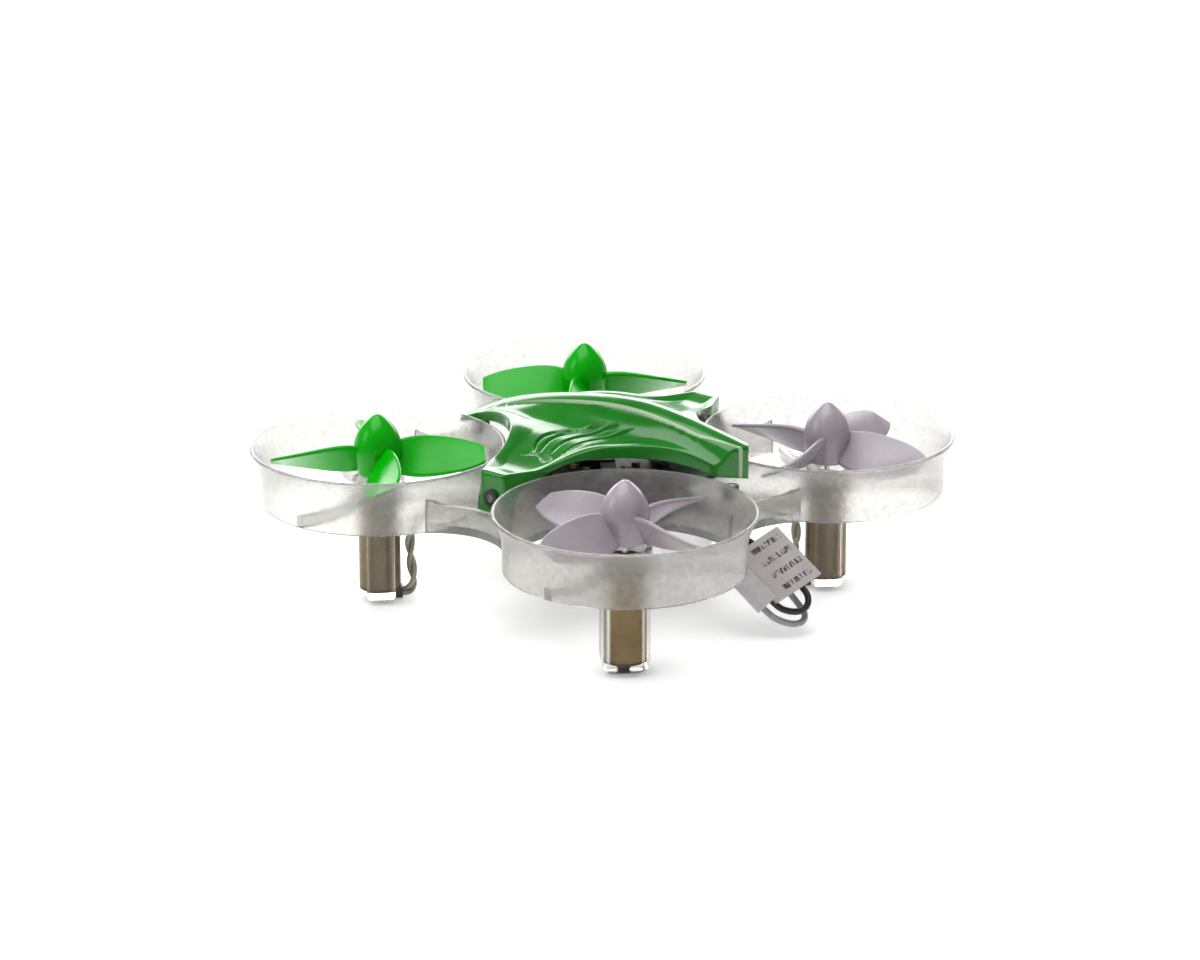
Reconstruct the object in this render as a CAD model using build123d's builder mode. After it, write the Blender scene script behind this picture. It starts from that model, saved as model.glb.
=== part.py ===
"""Mini palm drone: ducted four-rotor airframe with canopy, coreless motors and power lead.

Millimetres. The origin is at the middle of the footprint on the surface that the feet stand on.
+Z is up, the nose points along -Y, and +X is the drone's left side.
"""
import os
from math import cos, pi, radians, sin

from build123d import *

os.makedirs("parts", exist_ok=True)

# Driving dimensions
HALF_TRACK = 23.0          # motor axis from the middle, along X and along Y
CORNERS = {
    "front_left": (1, -1),
    "front_right": (-1, -1),
    "rear_left": (1, 1),
    "rear_right": (-1, 1),
}

DUCT_R = 16.9              # outer radius of the duct's straight wall
DUCT_WALL = 0.55
DUCT_BOTTOM = 15.4
FLARE_START = 18.4         # height where the straight wall starts to flare
LIP_R = 18.4
LIP_Z = 23.3
LIP_BEAD = 0.3

CAN_R = 3.0
CAN_WALL = 0.2
CAN_BOTTOM = 1.9
CAN_TOP = 16.9
SHAFT_R = 0.4
BUSH_R = 0.9
SLEEVE_WALL = 0.8
SLEEVE_TOP = 18.4

PROP_R = 15.5
HUB_BOTTOM = 19.3
HUB_TOP = 28.07
BLADE_Z = 21.5
# first blade's azimuth and the side of the leading edge: +1 spins anticlockwise from above
ROTORS = {
    "front_left": (46, 1),
    "front_right": (42, -1),
    "rear_left": (-3, -1),
    "rear_right": (6, 1),
}

WALL_MID = 27.0            # outer face of a bridging wall, at its middle
WALL_T = 0.8
WALL_TOP = 19.4
FLOOR_T = 1.0

STRAP_W = 4.1
STRAP_T = 0.4
FOOT_FLAT = (0.9, 0.6)     # half-sizes of the flat under a foot, along and across the strap
FOOT_ROUND_Z = 1.6         # height where the foot's sides start to round in
ARM_ROUND_Z = 2.4          # height where the strap's arms start to round in

BOARD_Z = 19.2
BOARD_T = 0.8

BATTERY = (11.6, 31.0, 6.3)
BATTERY_TOP = 15.1
BAY_GAP = 0.2

WIRE_D = 0.95
LEAD_D = 1.4


def place(name):
    """Return the motor axis of a named corner."""
    sx, sy = CORNERS[name]
    return sx * HALF_TRACK, sy * HALF_TRACK


def save(piece, name):
    piece.part.label = name
    export_step(piece.part, f"parts/{name}.step")


def axis_plane(name, z=0.0):
    """Plane at height z on a motor axis, with its X axis pointing at the drone's middle."""
    cx, cy = place(name)
    return Plane(origin=(cx, cy, z), x_dir=(-cx, -cy, 0), z_dir=(0, 0, 1))


def tube(points, radii, diameter):
    """Make a round cord along straight runs joined by tangent arcs."""
    with BuildPart() as cord:
        with BuildLine() as path:
            FilletPolyline(*points, radius=radii)
        with BuildSketch(Plane(origin=path.line @ 0, z_dir=path.line % 0)):
            Circle(diameter / 2)
        sweep()
    length = path.wires()[0].length
    error = cord.part.volume / (length * diameter ** 2 * pi / 4) - 1
    print(f"cord length {length:.1f}, volume error {error:.4f}")
    return cord


def route_radii(points, share=0.45, limit=None):
    """Give each corner of a route the largest arc that its two runs allow."""
    stops = [Vector(p) for p in points]
    radii = []
    for before, corner, after in zip(stops, stops[1:], stops[2:]):
        turn = radians((corner - before).get_angle(after - corner))
        run = min((corner - before).length, (after - corner).length)
        radius = share * run * cos(turn / 2) / sin(turn / 2)
        radii.append(min(radius, limit) if limit else radius)
    print("turn radii", [round(r, 1) for r in radii])
    return radii


# ---------------------------------------------------------------- ducts
def duct_outline():
    """Closed half-section of the duct wall, from its bottom edge to the rounded lip."""
    inner_lip = LIP_R - DUCT_WALL
    Line((DUCT_R - DUCT_WALL, DUCT_BOTTOM), (DUCT_R, DUCT_BOTTOM))
    Line((DUCT_R, DUCT_BOTTOM), (DUCT_R, FLARE_START))
    TangentArc((DUCT_R, FLARE_START), (LIP_R, LIP_Z), tangent=(0, 1))
    Line((LIP_R, LIP_Z), (inner_lip, LIP_Z + 0.15))
    TangentArc((DUCT_R - DUCT_WALL, FLARE_START), (inner_lip, LIP_Z + 0.15), tangent=(0, 1))
    Line((DUCT_R - DUCT_WALL, FLARE_START), (DUCT_R - DUCT_WALL, DUCT_BOTTOM))


def spoke_outline():
    """Plan of one swept spoke, from the motor sleeve to the duct wall."""
    start = CAN_R + SLEEVE_WALL / 2
    end = DUCT_R - DUCT_WALL / 2
    outer = ThreePointArc((start, -0.3), (0.55 * end, 1.9), (end, 0.7))
    inner = ThreePointArc((start, -1.3), (0.55 * end, 0.7), (end, -0.5))
    Line(outer @ 0, inner @ 0)
    Line(outer @ 1, inner @ 1)


for corner in CORNERS:
    cx, cy = place(corner)
    with BuildPart() as duct:
        with BuildSketch(Plane(origin=(cx, cy, 0), x_dir=(1, 0, 0), z_dir=(0, -1, 0))):
            with BuildLine():
                duct_outline()
            make_face()
            with Locations((LIP_R - LIP_BEAD, LIP_Z + 0.05)):
                Circle(LIP_BEAD)
        revolve(axis=Axis((cx, cy, 0), (0, 0, 1)))
        with BuildSketch(Plane(origin=(cx, cy, DUCT_BOTTOM))):
            Circle(CAN_R + SLEEVE_WALL)
            Circle(CAN_R, mode=Mode.SUBTRACT)
        extrude(amount=SLEEVE_TOP - DUCT_BOTTOM)
        for turn in (0, 120, 240):
            spoke = Plane(origin=(cx, cy, DUCT_BOTTOM)).rotated((0, 0, turn))
            with BuildSketch(spoke):
                with BuildLine():
                    spoke_outline()
                make_face()
            extrude(amount=1.6)
        with BuildSketch(Plane(origin=(cx, cy, DUCT_BOTTOM))):
            Circle(CAN_R)
        extrude(amount=SLEEVE_TOP - DUCT_BOTTOM, mode=Mode.SUBTRACT)
    save(duct, f"duct_{corner}")


# ---------------------------------------------------------------- centre frame
# A bridging wall's outer face is an arc that touches both of its ducts.
wall_x = (2 * HALF_TRACK ** 2 - (DUCT_R - WALL_MID) ** 2) / (2 * (HALF_TRACK + DUCT_R - WALL_MID))
wall_r = wall_x - WALL_MID
WALL_SPOTS = [(wall_x, 0), (-wall_x, 0), (0, wall_x), (0, -wall_x)]
FRAME_REACH = 30.0         # half-width of the square that trims the walls' thin ends
PEG_Z = 20.8
PEG_R = 0.6
PEG_X = 22.4
POST_Y = 23.4
LEAD_HOLE = 12.9           # from the middle to the slots in the floor for the motor leads
SCREW_AT = 12.4
BOSS_R = 1.3
GRIP_T = 0.7               # thickness of the loops round the battery


def between_ducts():
    """Plan of the space between the four ducts and inside the four bridging walls."""
    Rectangle(2 * FRAME_REACH, 2 * FRAME_REACH)
    with Locations(*WALL_SPOTS):
        Circle(wall_r, mode=Mode.SUBTRACT)
    with GridLocations(2 * HALF_TRACK, 2 * HALF_TRACK, 2, 2):
        Circle(DUCT_R, mode=Mode.SUBTRACT)


bay_w = BATTERY[0] + 2 * BAY_GAP
bay_h = BATTERY[2] + BAY_GAP
with BuildPart() as centre_frame:
    with BuildSketch(Plane.XY.offset(DUCT_BOTTOM)):
        between_ducts()
        with PolarLocations(LEAD_HOLE, 4, 45):
            SlotOverall(4.2, 2.4, mode=Mode.SUBTRACT)
        with Locations((0, 18.6)):
            Rectangle(4.6, 4.2, mode=Mode.SUBTRACT)
    extrude(amount=FLOOR_T)
    # the walls dip between the ducts and rise to the lips in concave gussets
    with BuildSketch(Plane.XY.offset(DUCT_BOTTOM)):
        between_ducts()
        with Locations(*WALL_SPOTS):
            Circle(wall_r + WALL_T, mode=Mode.INTERSECT)
    extrude(amount=LIP_Z - 0.5 - DUCT_BOTTOM)
    for plane in (Plane.YZ, Plane.XZ):
        with BuildSketch(plane):
            with BuildLine():
                left = ThreePointArc((-8.2, LIP_Z), (-7.2, 20.3), (-4.6, WALL_TOP))
                right = ThreePointArc((8.2, LIP_Z), (7.2, 20.3), (4.6, WALL_TOP))
                Line(left @ 1, right @ 1)
                Line(left @ 0, right @ 0)
            make_face()
        extrude(amount=FRAME_REACH + 1, both=True, mode=Mode.SUBTRACT)
    # bosses for the board screws and pegs for the canopy
    with BuildSketch(Plane.XY.offset(DUCT_BOTTOM)):
        with PolarLocations(SCREW_AT, 4):
            Circle(BOSS_R)
    extrude(amount=BOARD_Z - DUCT_BOTTOM)
    with BuildSketch(Plane.XY.offset(DUCT_BOTTOM)):
        with Locations((PEG_X - 0.7, 0), (0.7 - PEG_X, 0)):
            Rectangle(1.4, 2.6)
    extrude(amount=PEG_Z + 1.2 - DUCT_BOTTOM)
    with BuildSketch(Plane.YZ.offset(PEG_X - 0.7)):
        with Locations((0, PEG_Z)):
            Circle(PEG_R)
    extrude(amount=3.2)
    with BuildSketch(Plane.YZ.offset(0.7 - PEG_X)):
        with Locations((0, PEG_Z)):
            Circle(PEG_R)
    extrude(amount=-3.2)
    with BuildSketch(Plane.XY.offset(DUCT_BOTTOM)):
        with Locations((0, POST_Y), (0, -POST_Y)):
            Circle(PEG_R)
    extrude(amount=6.0)
    # two loops under the floor hold the battery
    for y in (-9.0, 9.0):
        with BuildSketch(Plane.XZ.offset(-y)):
            with Locations((0, BATTERY_TOP - bay_h / 2 + 0.1)):
                RectangleRounded(bay_w + 2 * GRIP_T, bay_h + 2 * GRIP_T, 1.2)
                Rectangle(bay_w, bay_h, mode=Mode.SUBTRACT)
        extrude(amount=1.25, both=True)
    with BuildSketch(Plane.XY.offset(DUCT_BOTTOM - 0.3)):
        Rectangle(bay_w + 2 * GRIP_T, 20)
    extrude(amount=0.4)
    # pilot holes for the board screws
    with BuildSketch(Plane.XY.offset(BOARD_Z - 2.6)):
        with PolarLocations(SCREW_AT, 4):
            Circle(0.4)
    extrude(amount=2.6, mode=Mode.SUBTRACT)
    # the walls stop at the flared ducts
    for corner in CORNERS:
        cx, cy = place(corner)
        with BuildSketch(Plane(origin=(cx, cy, 0), x_dir=(1, 0, 0), z_dir=(0, -1, 0))):
            with BuildLine():
                Line((0, FLARE_START - 0.5), (DUCT_R, FLARE_START - 0.5))
                Line((DUCT_R, FLARE_START - 0.5), (DUCT_R, FLARE_START))
                TangentArc((DUCT_R, FLARE_START), (LIP_R, LIP_Z), tangent=(0, 1))
                Line((LIP_R, LIP_Z), (0, LIP_Z))
                Line((0, LIP_Z), (0, FLARE_START - 0.5))
            make_face()
        revolve(axis=Axis((cx, cy, 0), (0, 0, 1)), mode=Mode.SUBTRACT)
save(centre_frame, "centre_frame")

# ---------------------------------------------------------------- motors, straps and leads
COMMUTATOR_R = 0.8
COIL_R = 2.55
MAGNET_R = 1.9
MAGNET_BOTTOM = 6.4
MAGNET_TOP = CAN_TOP - 0.5
LUG_END = 3.2              # the end cap's lug reaches this far inward from the motor axis


def ring(plane, outer, inner, height):
    """Extrude a ring, or a disc when inner is 0, upward from the plane."""
    with BuildPart(mode=Mode.PRIVATE) as piece:
        with BuildSketch(plane):
            Circle(outer)
            if inner:
                Circle(inner, mode=Mode.SUBTRACT)
        extrude(amount=height)
    return piece.part


with BuildPart() as motor_bushes:
    for corner in CORNERS:
        add(ring(axis_plane(corner, MAGNET_BOTTOM), BUSH_R, SHAFT_R + 0.03, 1.4))
        add(ring(axis_plane(corner, CAN_TOP - 1.5), BUSH_R, SHAFT_R + 0.03, 1.5))
save(motor_bushes, "motor_bushes")

with BuildPart() as motor_brushes:
    for corner in CORNERS:
        with BuildSketch(axis_plane(corner, CAN_BOTTOM + 1.4)):
            with Locations((COMMUTATOR_R + 0.13, 0), (-COMMUTATOR_R - 0.13, 0)):
                Rectangle(0.16, 0.9)
        extrude(amount=1.6)
save(motor_brushes, "motor_brushes")

for corner in CORNERS:
    with BuildPart() as can:
        with BuildSketch(axis_plane(corner, CAN_BOTTOM + 0.4)):
            Circle(CAN_R)
        extrude(amount=CAN_TOP - CAN_BOTTOM - 0.4)
        fillet(can.edges().group_by(Axis.Z)[-1], 0.3)
        with BuildSketch(axis_plane(corner, CAN_BOTTOM + 0.4)):
            Circle(CAN_R - CAN_WALL)
        extrude(amount=MAGNET_TOP - CAN_BOTTOM - 0.4, mode=Mode.SUBTRACT)
        with BuildSketch(axis_plane(corner, MAGNET_TOP)):
            Circle(BUSH_R)
        extrude(amount=CAN_TOP - MAGNET_TOP, mode=Mode.SUBTRACT)
    save(can, f"motor_can_{corner}")

    with BuildPart() as cap:
        with BuildSketch(axis_plane(corner, CAN_BOTTOM)):
            Circle(CAN_R)
        extrude(amount=0.4)
        with BuildSketch(axis_plane(corner, CAN_BOTTOM + 0.4)):
            Circle(CAN_R - CAN_WALL)
        extrude(amount=1.0)
        # lug that the lead comes out of, on the inward side
        with BuildSketch(axis_plane(corner, 0.3)):
            with Locations((LUG_END - 0.5, 0)):
                Rectangle(1.0, 1.8)
        extrude(amount=CAN_BOTTOM - 0.3)
    save(cap, f"motor_end_cap_{corner}")

    with BuildPart() as magnet:
        add(ring(axis_plane(corner, MAGNET_BOTTOM), MAGNET_R, BUSH_R, MAGNET_TOP - MAGNET_BOTTOM))
    save(magnet, f"motor_magnet_{corner}")

    with BuildPart() as coil:
        add(ring(axis_plane(corner, 5.4), COIL_R, COIL_R - 0.4, 9.0))
        add(ring(axis_plane(corner, 5.4), COIL_R, SHAFT_R, 0.6))
    save(coil, f"motor_coil_{corner}")

    with BuildPart() as commutator:
        add(ring(axis_plane(corner, 3.6), COMMUTATOR_R, SHAFT_R, 1.8))
    save(commutator, f"motor_commutator_{corner}")

    with BuildPart() as shaft:
        add(ring(axis_plane(corner, 3.6), SHAFT_R, 0, 21.0))
    save(shaft, f"motor_shaft_{corner}")

    # clear strap: two arms beside the can and a domed foot below it, across the inward direction
    strap_face = Plane(
        origin=axis_plane(corner).origin,
        x_dir=axis_plane(corner).y_dir,
        z_dir=axis_plane(corner).x_dir,
    )
    strap_side = Plane(
        origin=axis_plane(corner).origin,
        x_dir=axis_plane(corner).x_dir,
        z_dir=-axis_plane(corner).y_dir,
    )
    arm = CAN_R + STRAP_T
    with BuildPart() as strap:
        with BuildSketch(strap_face):
            with BuildLine():
                Line((-arm, DUCT_BOTTOM), (-arm, ARM_ROUND_Z))
                ThreePointArc((-arm, ARM_ROUND_Z), (-2.45, 0.6), (-FOOT_FLAT[0], 0))
                Line((-FOOT_FLAT[0], 0), (FOOT_FLAT[0], 0))
                ThreePointArc((FOOT_FLAT[0], 0), (2.45, 0.6), (arm, ARM_ROUND_Z))
                Line((arm, ARM_ROUND_Z), (arm, DUCT_BOTTOM))
                Line((arm, DUCT_BOTTOM), (-arm, DUCT_BOTTOM))
            make_face()
        extrude(amount=STRAP_W / 2, both=True)
        with BuildSketch(strap_side):
            half, flat = STRAP_W / 2, FOOT_FLAT[1]
            with BuildLine():
                Line((-half, DUCT_BOTTOM), (-half, FOOT_ROUND_Z))
                ThreePointArc((-half, FOOT_ROUND_Z), (-1.58, 0.5), (-flat, 0))
                Line((-flat, 0), (flat, 0))
                ThreePointArc((flat, 0), (1.58, 0.5), (half, FOOT_ROUND_Z))
                Line((half, FOOT_ROUND_Z), (half, DUCT_BOTTOM))
                Line((half, DUCT_BOTTOM), (-half, DUCT_BOTTOM))
            make_face()
        extrude(amount=arm + 1, both=True, mode=Mode.INTERSECT)
        add(ring(axis_plane(corner, CAN_BOTTOM), CAN_R, 0, 20), mode=Mode.SUBTRACT)
    save(strap, f"motor_strap_{corner}")
    print(corner, "strap solids", len(strap.part.solids()))

# Motor leads: each leaves the end cap on the inward side, rises beside the can, passes under the
# duct and goes up through the floor. Stations are (distance inward from the motor axis, height).
LEAD_ROUTE = [
    (LUG_END, 1.05), (4.0, 1.05), (4.6, 1.75), (4.85, 2.7), (4.7, 4.3), (4.3, 7.2), (4.5, 10.2),
    (5.6, 12.6), (8.0, 13.9), (12.6, 13.75), (17.0, 14.1), (19.2, 15.6), (20.2, 17.5),
    (20.22, BOARD_Z),
]
lead_radii = route_radii([(d, 0, z) for d, z in LEAD_ROUTE])
for corner in CORNERS:
    base = axis_plane(corner)
    stops = [base.from_local_coords((d, 0, z)) for d, z in LEAD_ROUTE]
    save(tube(stops, lead_radii, LEAD_D), f"motor_lead_{corner}")

# ---------------------------------------------------------------- propellers
# One blade as stations: (radius, chord, pitch in degrees, thickness)
BLADE = [
    (2.4, 4.6, 58, 0.9),
    (5.5, 6.4, 50, 0.8),
    (9.5, 6.6, 38, 0.6),
    (13.0, 5.6, 29, 0.5),
    (PROP_R - 0.1, 3.4, 23, 0.4),
]
for corner, (azimuth, spin) in ROTORS.items():
    hub_plane = axis_plane(corner)
    hub_origin = hub_plane.origin
    with BuildPart() as propeller:
        with BuildSketch(Plane(origin=hub_origin, x_dir=(1, 0, 0), z_dir=(0, -1, 0))):
            with BuildLine():
                Line((0, HUB_BOTTOM), (3.0, HUB_BOTTOM))
                Line((3.0, HUB_BOTTOM), (3.5, 23.0))
                ThreePointArc((3.5, 23.0), (2.55, 25.9), (0.5, HUB_TOP - 0.12))
                Line((0.5, HUB_TOP - 0.12), (0, HUB_TOP))
                Line((0, HUB_TOP), (0, HUB_BOTTOM))
            make_face()
        revolve(axis=Axis(hub_origin, (0, 0, 1)))
        for quarter in range(4):
            around = radians(azimuth + 90 * quarter)
            out = Vector(cos(around), sin(around), 0)
            ahead = Vector(-sin(around), cos(around), 0) * spin
            for r, chord, pitch, thick in BLADE:
                lie = ahead * cos(radians(pitch)) + Vector(0, 0, 1) * sin(radians(pitch))
                spot = hub_origin + out * r + Vector(0, 0, BLADE_Z)
                with BuildSketch(Plane(origin=spot, x_dir=lie, z_dir=out)):
                    SlotOverall(chord, thick)
            loft()
        with BuildSketch(axis_plane(corner, HUB_BOTTOM)):
            Circle(SHAFT_R)
        extrude(amount=24.6 - HUB_BOTTOM, mode=Mode.SUBTRACT)
    save(propeller, f"propeller_{corner}")
    print(corner, "propeller solids", len(propeller.part.solids()))

# ---------------------------------------------------------------- flight board
BOARD_CLEAR = 1.0          # from the board's edge to the ducts
board_top = BOARD_Z + BOARD_T

with BuildPart() as flight_board:
    with BuildSketch(Plane.XY.offset(BOARD_Z)):
        Rectangle(31, 31)
        with GridLocations(2 * HALF_TRACK, 2 * HALF_TRACK, 2, 2):
            Circle(DUCT_R + BOARD_CLEAR, mode=Mode.SUBTRACT)
        with PolarLocations(SCREW_AT, 4):
            Circle(0.5, mode=Mode.SUBTRACT)
    extrude(amount=BOARD_T)
save(flight_board, "flight_board")

with BuildPart() as board_screws:
    with BuildSketch(Plane.XY.offset(board_top)):
        with PolarLocations(SCREW_AT, 4):
            Circle(1.0)
    extrude(amount=0.8)
    with BuildSketch(Plane.XY.offset(BOARD_Z - 2.0)):
        with PolarLocations(SCREW_AT, 4):
            Circle(0.4)
    extrude(amount=2.0 + BOARD_T)
save(board_screws, "board_screws")

BOARD_PIECES = {
    # name: ((length, width, height), places, turn)
    "processor": ((5.0, 5.0, 0.9), [(0.5, -1.0)], 45),
    "receiver_can": ((5.4, 4.2, 1.4), [(0, -7.2)], 0),
    "motor_sockets": ((2.6, 2.0, 2.0), [(5.6, 5.6), (-5.6, 5.6), (5.6, -5.6), (-5.6, -5.6)], 45),
    "motor_transistors": ((1.5, 1.2, 0.7), [(3.2, 8.4), (-3.2, 8.4), (8.4, 3.2), (-8.4, 3.2)], 0),
    "board_capacitors": ((1.1, 0.6, 0.6), [(1.2, 5.0), (-1.2, 5.0), (1.4, 6.8), (5.2, 1.2),
                                           (5.2, -1.2), (9.8, -0.6)], 90),
    "status_lamp": ((1.6, 1.0, 0.8), [(0.2, 9.6)], 0),
}
for name, (size, spots, turn) in BOARD_PIECES.items():
    with BuildPart() as chip:
        with BuildSketch(Plane.XY.offset(board_top)):
            with Locations(*[Location((x, y, 0), (0, 0, turn * (1 if x * y > 0 else -1)))
                             for x, y in spots]):
                Rectangle(size[0], size[1])
        extrude(amount=size[2])
    save(chip, name)

# ---------------------------------------------------------------- battery
with BuildPart() as battery:
    with BuildSketch(Plane.XZ.offset(BATTERY[1] / 2 - 3.0)):
        with Locations((0, BATTERY_TOP - BATTERY[2] / 2)):
            RectangleRounded(BATTERY[0], BATTERY[2], 1.2)
    extrude(amount=3.0 - BATTERY[1])
save(battery, "battery_cell")

with BuildPart() as battery_end:
    with BuildSketch(Plane.XZ.offset(BATTERY[1] / 2)):
        with Locations((0, BATTERY_TOP - BATTERY[2] / 2)):
            RectangleRounded(BATTERY[0], BATTERY[2], 1.2)
    extrude(amount=-3.0)
    fillet(battery_end.faces().sort_by(Axis.Y)[0].edges(), 0.6)
save(battery_end, "battery_end_tape")

# ---------------------------------------------------------------- canopy
CANOPY_R = 18.95           # concave edges, about the duct axes
SHELL = 0.7
TIP_X = 24.4
TIP_FRONT = -27.0
TIP_REAR = 26.6
# roof sections: (y, spine top, how far the wing surface is moved down)
ROOF = [
    (-28.0, 20.6, 5.6), (-24.0, 23.2, 4.1), (-18.0, 25.8, 2.3), (-10.0, 28.2, 0.8),
    (0.0, 30.2, 0.0), (7.0, 30.6, 0.0), (14.0, 29.9, 0.1), (20.0, 28.9, 1.1), (27.5, 27.3, 3.2),
]


def roof_section(top, drop, sink):
    """Half-width crosswise section: crowned spine, a small step, then the dished wing."""
    wing = [(3.3, 27.6), (6.5, 26.7), (10.5, 26.1), (15.0, 25.2), (20.0, 24.6), (26.0, 24.5)]
    edge = [(0, top), (1.4, top - 0.2), (2.4, top - 0.75)]
    points = edge + [(x, min(z - drop, top - 1.1)) for x, z in wing]
    right = [(x, z - sink) for x, z in points]
    left = [(-x, z) for x, z in reversed(right[1:])]
    Polyline(*left, *right, (26.0, 10.0), (-26.0, 10.0), close=True)


def star_plan(inset):
    """Four-pointed plan that stays the same distance from every duct."""
    with Locations((0, (TIP_REAR + TIP_FRONT) / 2)):
        Rectangle(2 * (TIP_X - inset), TIP_REAR - TIP_FRONT - 2 * inset)
    with GridLocations(2 * HALF_TRACK, 2 * HALF_TRACK, 2, 2):
        Circle(CANOPY_R + inset, mode=Mode.SUBTRACT)


shells = []
for sink, inset in ((0.0, 0.0), (SHELL, SHELL)):
    with BuildPart() as roof:
        for y, top, drop in ROOF:
            with BuildSketch(Plane.XZ.offset(-y)):
                with BuildLine():
                    roof_section(top, drop, sink)
                make_face()
        loft(ruled=True)
        with BuildSketch(Plane.XY.offset(8)):
            star_plan(inset)
        extrude(amount=30, mode=Mode.INTERSECT)
        # the tail ends in a steep face
        with BuildSketch(Plane.YZ):
            with BuildLine():
                Polyline((25.3 - inset, 32), (25.6 - inset, 27.6), (27.2 - inset, 22), (40, 22),
                         (40, 32), close=True)
            make_face()
        extrude(amount=10, both=True, mode=Mode.SUBTRACT)
    shells.append(roof.part)

with BuildPart() as below_ends:
    with BuildSketch(Plane.YZ):
        with BuildLine():
            hem = Spline((-30, 19.4), (-27, 20.9), (-21, 22.9), (-14, 24.2), (0, 24.9), (14, 24.8),
                         (21, 24.1), (26, 23.2), (30, 22.4))
            Polyline(hem @ 1, (30, 5), (-30, 5), hem @ 0)
        make_face()
    extrude(amount=40, both=True)
with BuildPart() as below_sides:
    with BuildSketch(Plane.XZ):
        with BuildLine():
            Polyline((-23.0, 17.8), (-22.4, 21.2), (-19.0, 23.2), (-14.0, 24.7), (0, 25.0),
                     (14.0, 24.7), (19.0, 23.2), (22.4, 21.2), (23.0, 17.8))
            Polyline((23.0, 17.8), (40, 17.8), (40, 5), (-40, 5), (-40, 17.8), (-23.0, 17.8))
        make_face()
    extrude(amount=40, both=True)

# the cut that tapers a side plate: inner end, top corner and bottom corner (x, y, z)
TAPER = [(19.5, 4.4, 25.0), (TIP_X, 2.0, 24.2), (TIP_X, 4.1, 18.8)]

# louvres: a fan of slots in each wing, (x, y, length, turn in degrees)
LOUVRES = [(5.4, -5.2, 4.0, 62), (7.4, -3.6, 5.6, 68), (9.4, -1.6, 6.2, 75), (11.4, 0.6, 5.4, 82),
           (13.4, 2.0, 3.6, 88)]
with BuildPart() as canopy_shell:
    add(shells[0])
    add(shells[1], mode=Mode.SUBTRACT)
    add(below_ends.part & below_sides.part, mode=Mode.SUBTRACT)
    for side in (1, -1):
        for x, y, length, turn in LOUVRES:
            with BuildSketch(Plane((side * x, y, 22)).rotated((0, 0, side * turn))):
                SlotOverall(length, 0.7)
            extrude(amount=6, mode=Mode.SUBTRACT)
        with BuildSketch(Plane.YZ.offset(side * 20.0)):
            with Locations((0, PEG_Z)):
                Circle(1.2)
        extrude(amount=side * 6, mode=Mode.SUBTRACT)
        for end in (1, -1):
            inner, outer, lower = (Vector(side * x, end * y, z) for x, y, z in TAPER)
            away = (outer - inner).cross(lower - inner).normalized()
            if away.Y * end < 0:
                away = -away
            with Locations(Plane(origin=outer, x_dir=outer - inner, z_dir=away)):
                Box(16, 16, 4, align=(Align.CENTER, Align.CENTER, Align.MIN), mode=Mode.SUBTRACT)
save(canopy_shell, "canopy_shell")
print("canopy solids", len(canopy_shell.part.solids()), canopy_shell.part.bounding_box())

with BuildPart() as canopy_grommets:
    for side in (1, -1):
        with BuildSketch(Plane.YZ.offset(side * (TIP_X - SHELL - 0.5))):
            with Locations((0, PEG_Z)):
                Circle(1.2)
                Circle(PEG_R, mode=Mode.SUBTRACT)
        extrude(amount=side * (SHELL + 0.9))
    with BuildSketch(Plane.XY.offset(DUCT_BOTTOM + 3.8)):
        with Locations((0, POST_Y), (0, -POST_Y)):
            Circle(1.1)
            Circle(PEG_R, mode=Mode.SUBTRACT)
    extrude(amount=2.2)
save(canopy_grommets, "canopy_grommets")

# ---------------------------------------------------------------- power lead
# The flag label hangs behind the rear wall. Its u side runs down and to the rear, its v side down
# and to the left, and depth is measured from its face into the drone.
LABEL_CORNER = Vector(-2.6, 29.6, 16.0)
LABEL_SIZE = (9.0, 8.0, 0.3)
label_u = Vector(-2.36, 6.11, -6.26).normalized()
label_out = label_u.cross(Vector(5.36, -4.12, -4.33)).normalized() * -1
label_v = label_u.cross(label_out).normalized()


def on_label(u, v, depth):
    """Point at u and v along the label's sides and depth behind its face."""
    return LABEL_CORNER + label_u * u + label_v * v - label_out * depth


def slab(u, v, depth, size):
    """Block whose near corner is at (u, v, depth) in the label's own directions."""
    corner_plane = Plane(origin=on_label(u, v, depth), x_dir=label_u, z_dir=-label_out)
    side = 1 if corner_plane.y_dir.dot(label_v) > 0 else -1
    with BuildPart(mode=Mode.PRIVATE) as block:
        with BuildSketch(corner_plane):
            with Locations((size[0] / 2, side * size[1] / 2)):
                Rectangle(size[0], size[1])
        extrude(amount=size[2])
    return block.part


HOUSING = (5.6, 3.6, 2.9)
HOUSING_AT = (1.6, 6.7, LABEL_SIZE[2])
PIN_V = (1.0, 2.6)         # the two contacts and wires, across the housing
WIRE_DEPTH = HOUSING_AT[2] + HOUSING[2] / 2

with BuildPart() as flag_label:
    add(slab(0, 0, 0, LABEL_SIZE))
save(flag_label, "flag_label")

with BuildPart() as power_connector:
    add(slab(*HOUSING_AT, HOUSING))
    fillet(power_connector.edges().filter_by(lambda e: e.length > HOUSING[0] - 0.1), 0.3)
    mouth = (HOUSING_AT[0], HOUSING_AT[1] + 0.5, HOUSING_AT[2] + 0.5)
    add(slab(*mouth, (3.6, HOUSING[1] - 1.0, HOUSING[2] - 1.0)), mode=Mode.SUBTRACT)
save(power_connector, "power_connector")

with BuildPart() as power_contacts:
    for across in PIN_V:
        pin_at = (HOUSING_AT[0] + 0.6, HOUSING_AT[1] + across - 0.25, WIRE_DEPTH - 0.25)
        add(slab(*pin_at, (3.0, 0.5, 0.5)))
save(power_contacts, "power_contacts")

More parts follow.
